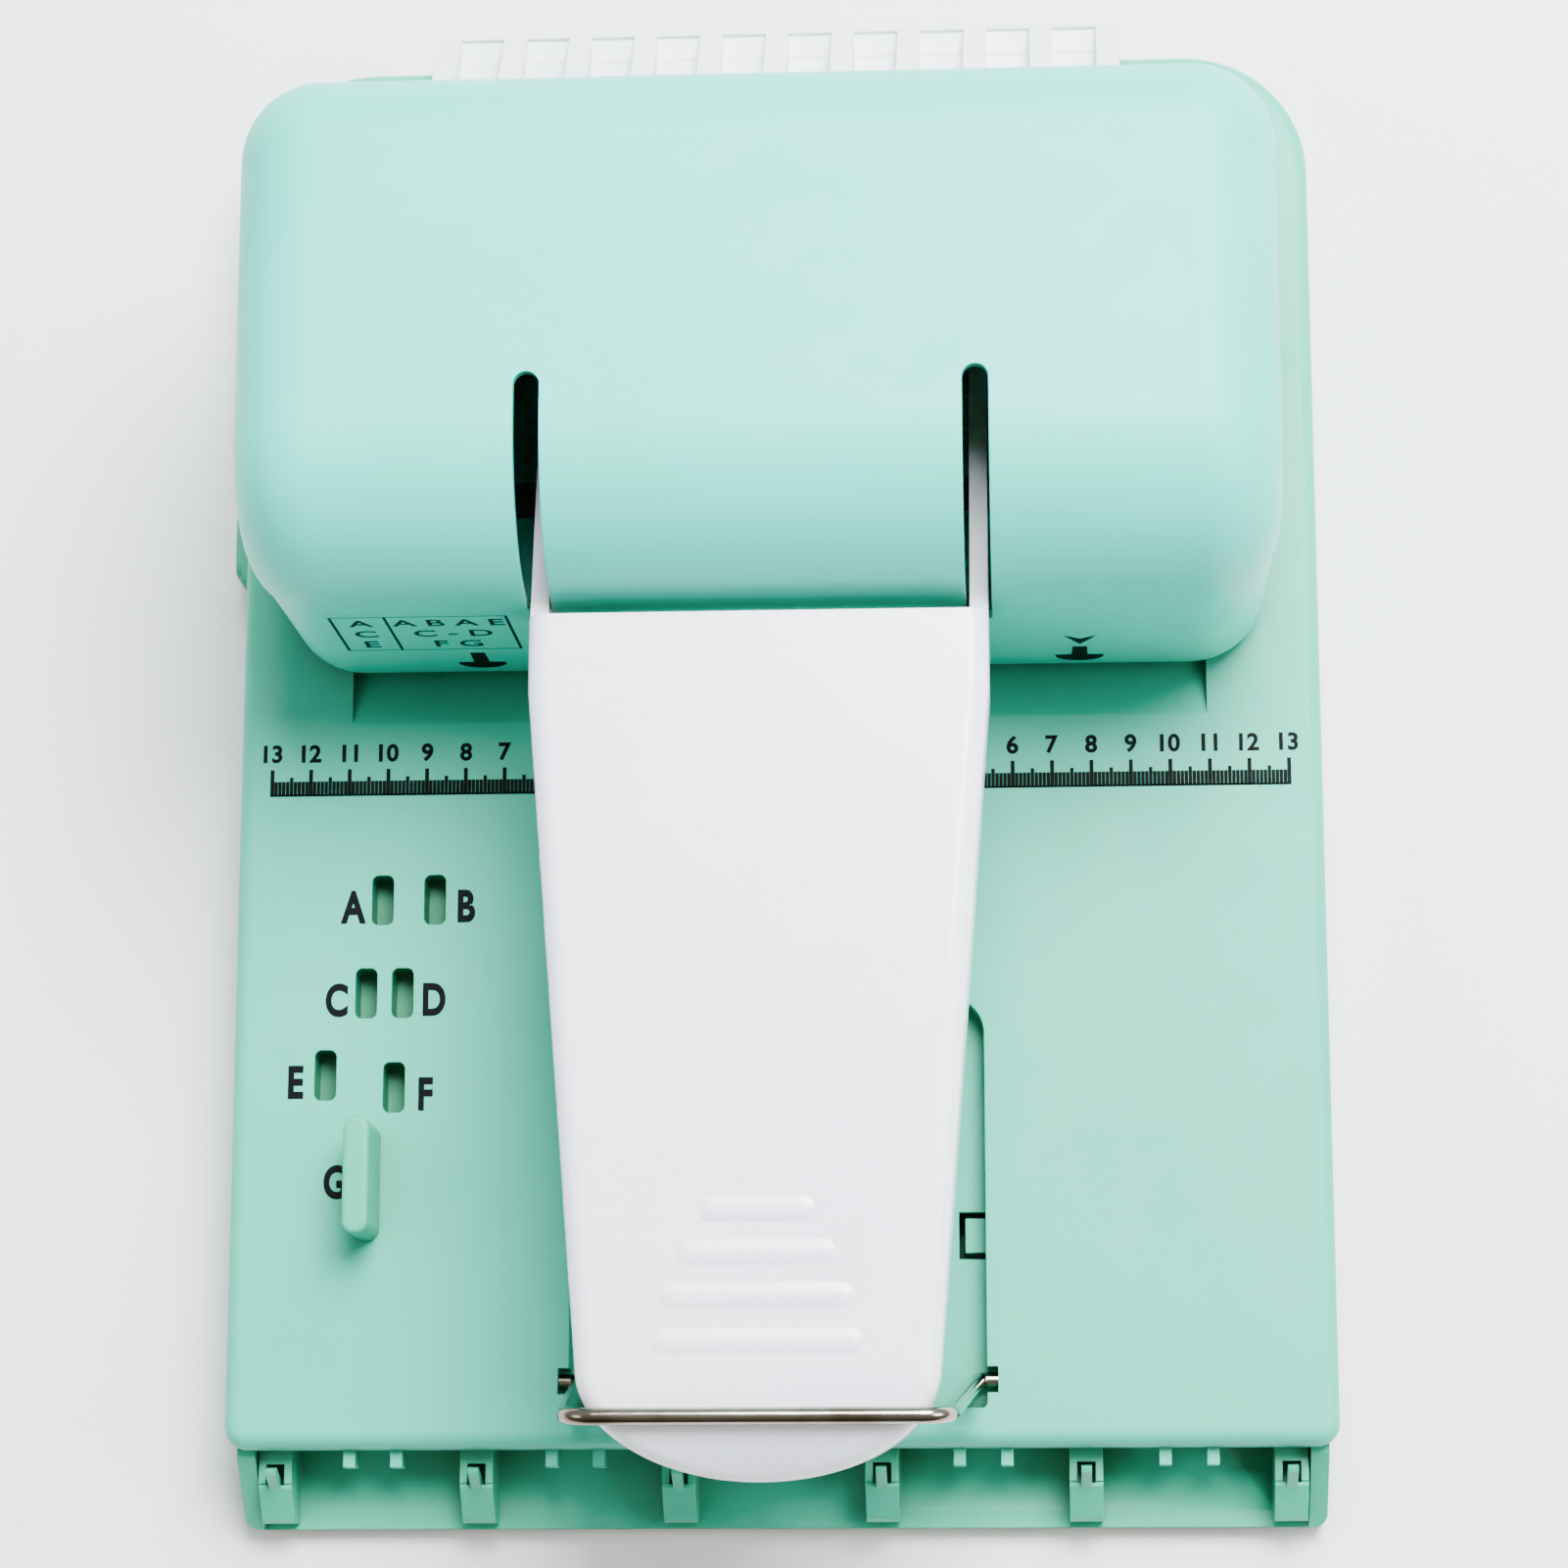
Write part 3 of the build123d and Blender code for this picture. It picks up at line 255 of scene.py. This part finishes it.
scale = bmesh.new()
for mm in range(-10 * SCALE_ENDS, 10 * SCALE_ENDS + 1):
    wide = CM_TICK_HALF if mm % 10 == 0 else TICK_HALF
    top = CM_TICK_Y if mm % 10 == 0 else HALF_TICK_Y if mm % 5 == 0 else COMB_Y1
    ink_bar(scale, (mm - wide) * MM, (mm + wide) * MM, COMB_Y0, top)
ink_bar(scale, -SCALE_ENDS * CM, SCALE_ENDS * CM, COMB_Y0, COMB_Y0 + 0.5 * MM)
for cm in range(-SCALE_ENDS, SCALE_ENDS + 1):
    ink_words(scale, str(abs(cm)), cm * CM, DIGIT_Y, DIGIT_HIGH, DIGIT_STROKE)
bmesh.ops.translate(scale, verts=scale.verts, vec=(0, 0, deck_z))
piece("scale_print", scale, print_ink, "base")

LETTER_OUT = {-1: 7.5 * MM, 1: 8.1 * MM}
LETTER_DOWN, LETTER_HIGH, LETTER_NARROW, LETTER_STROKE = -1.7 * MM, 7.8 * MM, 0.74, 0.45 * MM
PEG_LETTER_OUT, PEG_LETTER_UP = 8.2 * MM, 0.4 * MM
letters = bmesh.new()
for letter in "ABCDEF":
    low, high = openings["stop_slot_" + letter.lower()]
    side = -1 if letter in "ACE" else 1
    ink_words(letters, letter, (low[0] + high[0]) / 2 + side * LETTER_OUT[side],
              (low[1] + high[1]) / 2 + LETTER_DOWN, LETTER_HIGH, LETTER_STROKE, LETTER_NARROW)
low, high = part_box("edge_stop_peg")
ink_words(letters, "G", (low.x + high.x) / 2 - PEG_LETTER_OUT, (low.y + high.y) / 2 + PEG_LETTER_UP,
          LETTER_HIGH, LETTER_STROKE, LETTER_NARROW)
bmesh.ops.translate(letters, verts=letters.verts, vec=(0, 0, deck_z))
piece("stop_letters", letters, print_ink, "base")


# ---- Printed marks on the head -------------------------------------------------------------------
# The same ink on the upright front of the head: a ruled table of stops for common sheet sizes, and a
# mushroom that shows the hole's shape at each side, the right one under an arrow.

head_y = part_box("head_body")[0].y
TABLE_X0, TABLE_X1, TABLE_SPLIT_X = -105.4 * MM, -62.2 * MM, -92.0 * MM
TABLE_Z0, TABLE_Z1 = 64.0 * MM, 97.0 * MM
RULE = 0.35 * MM
ROW_TOP, ROW_STEP, ROW_HIGH, ROW_STROKE = 6.0, 10.5, 6.0 * MM, 0.12 * MM
CAP_POINTS = 16


def mushroom_mark(sheet, x, z_cap, z_gill, z_stem):
    """The outline of a punched hole, cap down and stem up."""
    half, stem = 6.1 * MM, 2.0 * MM
    cap = [(x - half * math.cos(a), z_gill - (z_gill - z_cap) * math.sin(a) ** 0.8)
           for a in (math.pi * i / CAP_POINTS for i in range(CAP_POINTS + 1))]
    ink_shape(sheet, cap + [(x + stem, z_gill + 0.4 * MM), (x + 0.9 * stem, z_stem),
                            (x - 0.9 * stem, z_stem), (x - stem, z_gill + 0.4 * MM)])


marks = bmesh.new()
for x in (TABLE_X0, TABLE_SPLIT_X, TABLE_X1):
    ink_bar(marks, x - RULE, x + RULE, TABLE_Z0, TABLE_Z1)
for z in (TABLE_Z0, TABLE_Z1):
    ink_bar(marks, TABLE_X0, TABLE_X1, z - RULE / 2, z + RULE / 2)
for row, (stop, sizes) in enumerate((("A", "A B A E"), ("C", "C - D"), ("E", "F G"))):
    z = TABLE_Z1 - (ROW_TOP + ROW_STEP * row) * MM
    ink_words(marks, stop, (TABLE_X0 + TABLE_SPLIT_X) / 2, z, ROW_HIGH, ROW_STROKE)
    ink_words(marks, sizes, (TABLE_SPLIT_X + TABLE_X1) / 2, z, ROW_HIGH, ROW_STROKE)
LEFT_MARK_X, RIGHT_MARK_X, ARROW_HALF = -73.8 * MM, 77.2 * MM, 4.2 * MM
mushroom_mark(marks, LEFT_MARK_X, 44.0 * MM, 50.0 * MM, 60.0 * MM)
mushroom_mark(marks, RIGHT_MARK_X, 43.0 * MM, 49.0 * MM, 57.5 * MM)
ink_shape(marks, [(RIGHT_MARK_X, 60.0 * MM), (RIGHT_MARK_X + ARROW_HALF, 69.0 * MM),
                  (RIGHT_MARK_X, 65.5 * MM), (RIGHT_MARK_X - ARROW_HALF, 69.0 * MM)])
bmesh.ops.transform(marks, verts=marks.verts, matrix=Matrix.Translation((0, head_y, 0))
                    @ Matrix.Rotation(math.radians(90), 4, "X"))
piece("head_marks", marks, print_ink, "base")


# ---- Lever, arms and rear rack -------------------------------------------------------------------
# The lever is a high-gloss white ABS shell over a pressed channel. The rear rack is the same white
# but duller. The two arms are steel with a white powder coat, and show its orange peel.

lever_white = moulded("gloss white lever", linear(236, 240, 250), linear(230, 235, 248), 0.27,
                      grain_depth=0.000004, coat=0.35, edge_tint_colour=linear(252, 252, 252))
rack_white = moulded("satin white rack", linear(236, 239, 243), linear(230, 234, 238), 0.42,
                     grain_depth=0.000012, edge_tint_colour=linear(250, 250, 250))
coat_white = moulded("white powder coat", linear(234, 238, 240), linear(228, 233, 236), 0.34,
                     grain_depth=0.00003, edge_tint_colour=linear(214, 218, 220))
finish_node("lever_shell", lever_white)
finish_node("rear_rack", rack_white)
for arm in ("lever_arm_left", "lever_arm_right"):
    finish_node(arm, coat_white)


# ---- Wire bail -----------------------------------------------------------------------------------
# One length of 4 mm spring wire, bent cold and bright nickel-chrome plated, with the slight waves
# that drawing leaves along it and a few fine rubs where it slides over the lever.

def metal(name, colour, gloss, spread, stretch, scale, depth, tarnish):
    """Bare or plated metal: stretched drawing or grinding lines, patchy gloss and a little tarnish."""
    material = bpy.data.materials.new(name)
    tree, shader, place, add = wire_up(material)
    shader.inputs["Metallic"].default_value = 1.0
    drawn = add("ShaderNodeMapping", [("Vector", place), ("Scale", stretch)])
    lines = add("ShaderNodeTexNoise", [("Vector", drawn.outputs["Vector"]), ("Scale", scale),
                                       ("Detail", 4.0)])
    clouds = add("ShaderNodeTexNoise", [("Vector", place), ("Scale", 60.0), ("Detail", 5.0)])
    stain = add("ShaderNodeMapRange", [("Value", clouds.outputs["Fac"]), ("From Min", 0.42),
                                       ("From Max", 0.75)])
    tone = add("ShaderNodeMix", [("Factor", stain.outputs["Result"])], data_type="RGBA")
    tone.inputs[6].default_value = colour
    tone.inputs[7].default_value = tarnish
    tree.links.new(tone.outputs[2], shader.inputs["Base Color"])
    dull = add("ShaderNodeMapRange", [("Value", lines.outputs["Fac"]), ("From Min", 0.3),
                                      ("From Max", 0.7), ("To Min", gloss), ("To Max", gloss + spread)])
    tree.links.new(dull.outputs["Result"], shader.inputs["Roughness"])
    rounded, _ = edge_rub(add, 0.0003, 0.0)
    bump = add("ShaderNodeBump", [("Height", lines.outputs["Fac"]), ("Distance", depth),
                                  ("Strength", 0.5), ("Normal", rounded)])
    tree.links.new(bump.outputs["Normal"], shader.inputs["Normal"])
    return material


chrome = metal("nickel-chrome plated wire", linear(158, 150, 140), 0.10, 0.10, (1, 8, 8), 160.0, 0.00002,
               linear(96, 80, 62))
finish_node("bail_wire", chrome)


# ---- Die set, carrier, shaft and frames ----------------------------------------------------------
# Tool steel ground flat for the die, stripper and back gauge; polished punches, pins and shaft;
# pressed zinc-plated frames, cams and channel; oil-filled bronze bushes and oiled springs.

ground = metal("ground tool steel", linear(176, 178, 180), 0.26, 0.16, (1, 40, 1), 90.0, 0.00002,
               linear(150, 151, 152))
bright = metal("polished hardened steel", linear(205, 206, 208), 0.12, 0.10, (1, 1, 30), 200.0, 0.00001,
               linear(180, 179, 176))
zinc = metal("zinc plated pressing", linear(190, 194, 197), 0.30, 0.14, (1, 1, 1), 240.0, 0.00003,
             linear(170, 176, 182))
oiled = metal("oiled spring wire", linear(128, 130, 133), 0.24, 0.14, (1, 1, 1), 300.0, 0.00002,
              linear(98, 96, 92))
bronze = metal("sintered bronze", linear(186, 146, 88), 0.36, 0.16, (1, 1, 1), 700.0, 0.00005,
               linear(150, 112, 66))
steel_parts = {ground: ("die_plate", "throat_spacer", "stripper_plate", "punch_carrier"),
               bright: ("punches", "guide_pins", "lever_shaft", "cam_pins"),
               zinc: ("side_frame_left", "side_frame_right", "press_cams", "lever_frame", "arm_rivets",
                      "shaft_circlips"),
               oiled: ("return_springs",),
               bronze: ("guide_bushes", "shaft_bushes")}
for skin, names in steel_parts.items():
    for name in names:
        finish_node(name, skin)


# ---- Rubber feet ---------------------------------------------------------------------------------
# Six moulded nitrile discs, glued in shallow seats. They pick up dust and dull where they rub.

rubber = bpy.data.materials.new("moulded rubber")
tree, shader, place, add = wire_up(rubber)
dust = add("ShaderNodeTexNoise", [("Vector", place), ("Scale", 130.0), ("Detail", 6.0)])
grime = add("ShaderNodeMapRange", [("Value", dust.outputs["Fac"]), ("From Min", 0.45),
                                   ("From Max", 0.8)])
tone = add("ShaderNodeMix", [("Factor", grime.outputs["Result"])], data_type="RGBA")
tone.inputs[6].default_value = linear(46, 48, 49)
tone.inputs[7].default_value = linear(92, 92, 88)
tree.links.new(tone.outputs[2], shader.inputs["Base Color"])
speckle = add("ShaderNodeTexVoronoi", [("Vector", place), ("Scale", 1400.0)])
nap = add("ShaderNodeBump", [("Height", speckle.outputs["Distance"]), ("Distance", 0.00006)])
tree.links.new(nap.outputs["Normal"], shader.inputs["Normal"])
shader.inputs["Roughness"].default_value = 0.78
finish_node("rubber_feet", rubber)


# ---- Screws --------------------------------------------------------------------------------------
# Zinc-plated cross-recess screws, cold headed and thread rolled. They cut their own thread in the
# plastic bosses, and the short ones in the steel parts are machine screws.

THREAD_PITCH = 0.9 * MM
RECESS_ARM, RECESS_WIDE, RECESS_DEEP = 1.45 * MM, 0.42 * MM, 1.2 * MM
FACETS = 28
RECESS_FLOOR, HEAD_FIT = 0.55, 0.995
HEAD_HIGH = 2.2 * MM
WELD, END_BAND = 0.00001, 0.0002
TURN_EACH = 37


def ring(shape, radius, z):
    """A circle of corners round the screw's axis."""
    return [shape.verts.new((radius * math.cos(2 * math.pi * i / FACETS),
                             radius * math.sin(2 * math.pi * i / FACETS), z)) for i in range(FACETS)]


def join_rings(shape, first, second):
    """The band of faces between two loops of corners."""
    for i in range(len(first)):
        j = (i + 1) % len(first)
        shape.faces.new((first[i], first[j], second[j], second[i]))


def cross_screw(head_r, head_high, shank_r, long):
    """A pan-head screw, tip at z = 0 and head on top."""
    shape = bmesh.new()
    top = long
    root = 0.8 * shank_r
    profile = [(0.25 * shank_r, 0.0), (root, 0.8 * MM)]
    z = 0.9 * MM
    while z < long - head_high - THREAD_PITCH:
        profile += [(root, z), (shank_r, z + 0.45 * THREAD_PITCH), (root, z + 0.9 * THREAD_PITCH)]
        z += THREAD_PITCH
    profile += [(0.86 * shank_r, top - head_high), (head_r * 0.97, top - head_high),
                (head_r, top - head_high * 0.75), (head_r * 0.97, top - head_high * 0.4),
                (head_r * 0.82, top - head_high * 0.12), (head_r * 0.62, top)]
    rings = [ring(shape, r, z) for r, z in profile]
    for first, second in zip(rings, rings[1:]):
        join_rings(shape, first, second)
    shape.faces.new(rings[0][::-1])
    cross = []
    for quarter in range(4):
        turn = Matrix.Rotation(math.radians(90 * quarter), 3, "Z")
        cross += [turn @ Vector(p) for p in ((RECESS_ARM, -RECESS_WIDE, 0), (RECESS_ARM, RECESS_WIDE, 0),
                                             (RECESS_WIDE, RECESS_WIDE, 0))]
    lip = [shape.verts.new((p.x, p.y, top)) for p in cross]
    floor = [shape.verts.new((p.x * RECESS_FLOOR, p.y * RECESS_FLOOR, top - RECESS_DEEP)) for p in cross]
    join_rings(shape, floor, lip)
    shape.faces.new(floor)
    rims = [e for e in shape.edges if len(e.link_faces) == 1]
    bmesh.ops.triangle_fill(shape, use_beauty=True, edges=rims, normal=(0, 0, 1))
    bmesh.ops.recalc_face_normals(shape, faces=shape.faces)
    return shape


def screw_places(name):
    """Each screw of a group: its middle, its ends, its head and shank radius and which way it faces."""
    cloud = bmesh.new()
    cloud.from_mesh(nodes[name].data)
    bmesh.ops.remove_doubles(cloud, verts=cloud.verts, dist=WELD)
    left = set(cloud.verts)
    found = []
    while left:
        island, reach = [], [left.pop()]
        while reach:
            vert = reach.pop()
            island.append(vert.co.copy())
            for edge in vert.link_edges:
                other = edge.other_vert(vert)
                if other in left:
                    left.discard(other)
                    reach.append(other)
        found.append(island)
    cloud.free()
    screws = []
    for island in found:
        axes = [[v[a] for v in island] for a in range(3)]
        spans = [max(a) - min(a) for a in axes]
        along = spans.index(max(spans))
        across = [a for a in range(3) if a != along]
        middle = Vector([(max(a) + min(a)) / 2 for a in axes])
        radius = [math.hypot(*[v[a] - middle[a] for a in across]) for v in island]
        end0 = min(axes[along])
        end1 = max(axes[along])
        near0 = max(r for r, v in zip(radius, island) if v[along] < end0 + END_BAND)
        near1 = max(r for r, v in zip(radius, island) if v[along] > end1 - END_BAND)
        screws.append((middle, along, end0, end1, max(near0, near1), min(near0, near1), near1 > near0))
    return sorted(screws, key=lambda s: tuple(round(c, 5) for c in s[0]))


def make_screws(name, body, head_high):
    """One piece for a group of like screws, in the same places as the plain ones it stands for."""
    group = bmesh.new()
    for count, (middle, along, end0, end1, head_r, shank_r, head_up) in enumerate(screw_places(name)):
        one = cross_screw(head_r * HEAD_FIT, head_high, shank_r, end1 - end0)
        one.transform(Matrix.Rotation(math.radians(TURN_EACH * count), 4, "Z"))
        direction = Vector([1.0 if a == along else 0.0 for a in range(3)]) * (1 if head_up else -1)
        start = middle.copy()
        start[along] = end0 if head_up else end1
        place_it = Matrix.Translation(start) @ direction.to_track_quat("Z", "Y").to_matrix().to_4x4()
        one.transform(place_it)
        rough = bpy.data.meshes.new("screw")
        one.to_mesh(rough)
        one.free()
        group.from_mesh(rough)
        bpy.data.meshes.remove(rough)
    screws = piece(name + "_cross", group, zinc, body)
    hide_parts(name)


for fixed in ("base_screws", "rack_screws", "head_screws", "cover_screws", "die_screws",
              "stripper_screws", "frame_screws"):
    make_screws(fixed, "base", HEAD_HIGH)
make_screws("lever_screws", "lever", HEAD_HIGH)


# ---- Table, light and camera ---------------------------------------------------------------------
# A plain pale table top, a large soft light above and behind, a weaker one each side, and a room that
# is bright behind and dim and warm in front. The camera has a long lens, nearly overhead from the
# operator's side.

table = bmesh.new()
bmesh.ops.create_grid(table, x_segments=4, y_segments=4, size=4.0)
table_mesh = bpy.data.meshes.new("table_top")
table.to_mesh(table_mesh)
table.free()
table_top = bpy.data.objects.new("table_top", table_mesh)
bpy.context.scene.collection.objects.link(table_top)
pale = bpy.data.materials.new("pale table")
tree, shader, place, add = wire_up(pale)
shader.inputs["Base Color"].default_value = (0.92, 0.92, 0.92, 1)
shader.inputs["Roughness"].default_value = 0.85
table_mesh.materials.append(pale)

world = bpy.data.worlds.new("studio")
bpy.context.scene.world = world
world.use_nodes = True
sky = world.node_tree.nodes["Background"]
around = world.node_tree.nodes.new("ShaderNodeTexCoord")
split = world.node_tree.nodes.new("ShaderNodeSeparateXYZ")
fall = world.node_tree.nodes.new("ShaderNodeMapRange")
world.node_tree.links.new(around.outputs["Generated"], split.inputs["Vector"])
world.node_tree.links.new(split.outputs["Y"], fall.inputs["Value"])
FRONT_Y, BACK_Y = -0.9, 0.5
fall.inputs["From Min"].default_value, fall.inputs["From Max"].default_value = FRONT_Y, BACK_Y
fall.inputs["To Min"].default_value, fall.inputs["To Max"].default_value = 0.11, 0.86
world.node_tree.links.new(fall.outputs["Result"], sky.inputs["Strength"])
tint = world.node_tree.nodes.new("ShaderNodeMapRange")
world.node_tree.links.new(split.outputs["Y"], tint.inputs["Value"])
tint.inputs["From Min"].default_value, tint.inputs["From Max"].default_value = FRONT_Y, BACK_Y
room = world.node_tree.nodes.new("ShaderNodeMix")
room.data_type = "RGBA"
world.node_tree.links.new(tint.outputs["Result"], room.inputs["Factor"])
room.inputs[6].default_value = (1.0, 0.9, 0.62, 1)
room.inputs[7].default_value = (0.92, 0.985, 1.0, 1)
world.node_tree.links.new(room.outputs[2], sky.inputs["Color"])


def soft_light(name, power, size, at, towards, colour=(1, 1, 1)):
    """A round soft light, aimed at a point."""
    lamp = bpy.data.lights.new(name, "AREA")
    lamp.shape = "DISK"
    lamp.size = size
    lamp.energy = power
    lamp.color = colour
    thing = bpy.data.objects.new(name, lamp)
    bpy.context.scene.collection.objects.link(thing)
    thing.location = at
    thing.rotation_euler = (Vector(towards) - Vector(at)).to_track_quat("-Z", "Y").to_euler()


soft_light("key", 100.0, 1.0, (0.35, 0.62, 1.35), (0.0, 0.0, 0.05), (0.93, 0.98, 1.0))
soft_light("right", 12.0, 0.7, (1.1, -0.15, 0.95), (0.0, 0.0, 0.05))
soft_light("left", 4.0, 0.7, (-1.1, -0.25, 0.95), (0.0, 0.0, 0.05))

camera = bpy.data.cameras.new("camera")
camera.sensor_width = 36.0
camera.lens = 98.3
view = bpy.data.objects.new("camera", camera)
bpy.context.scene.collection.objects.link(view)
view.location = (0.0643, -0.2362, 1.0986)
view.rotation_euler = [math.radians(a) for a in (11.995, 3.363, -0.0196)]
bpy.context.scene.camera = view
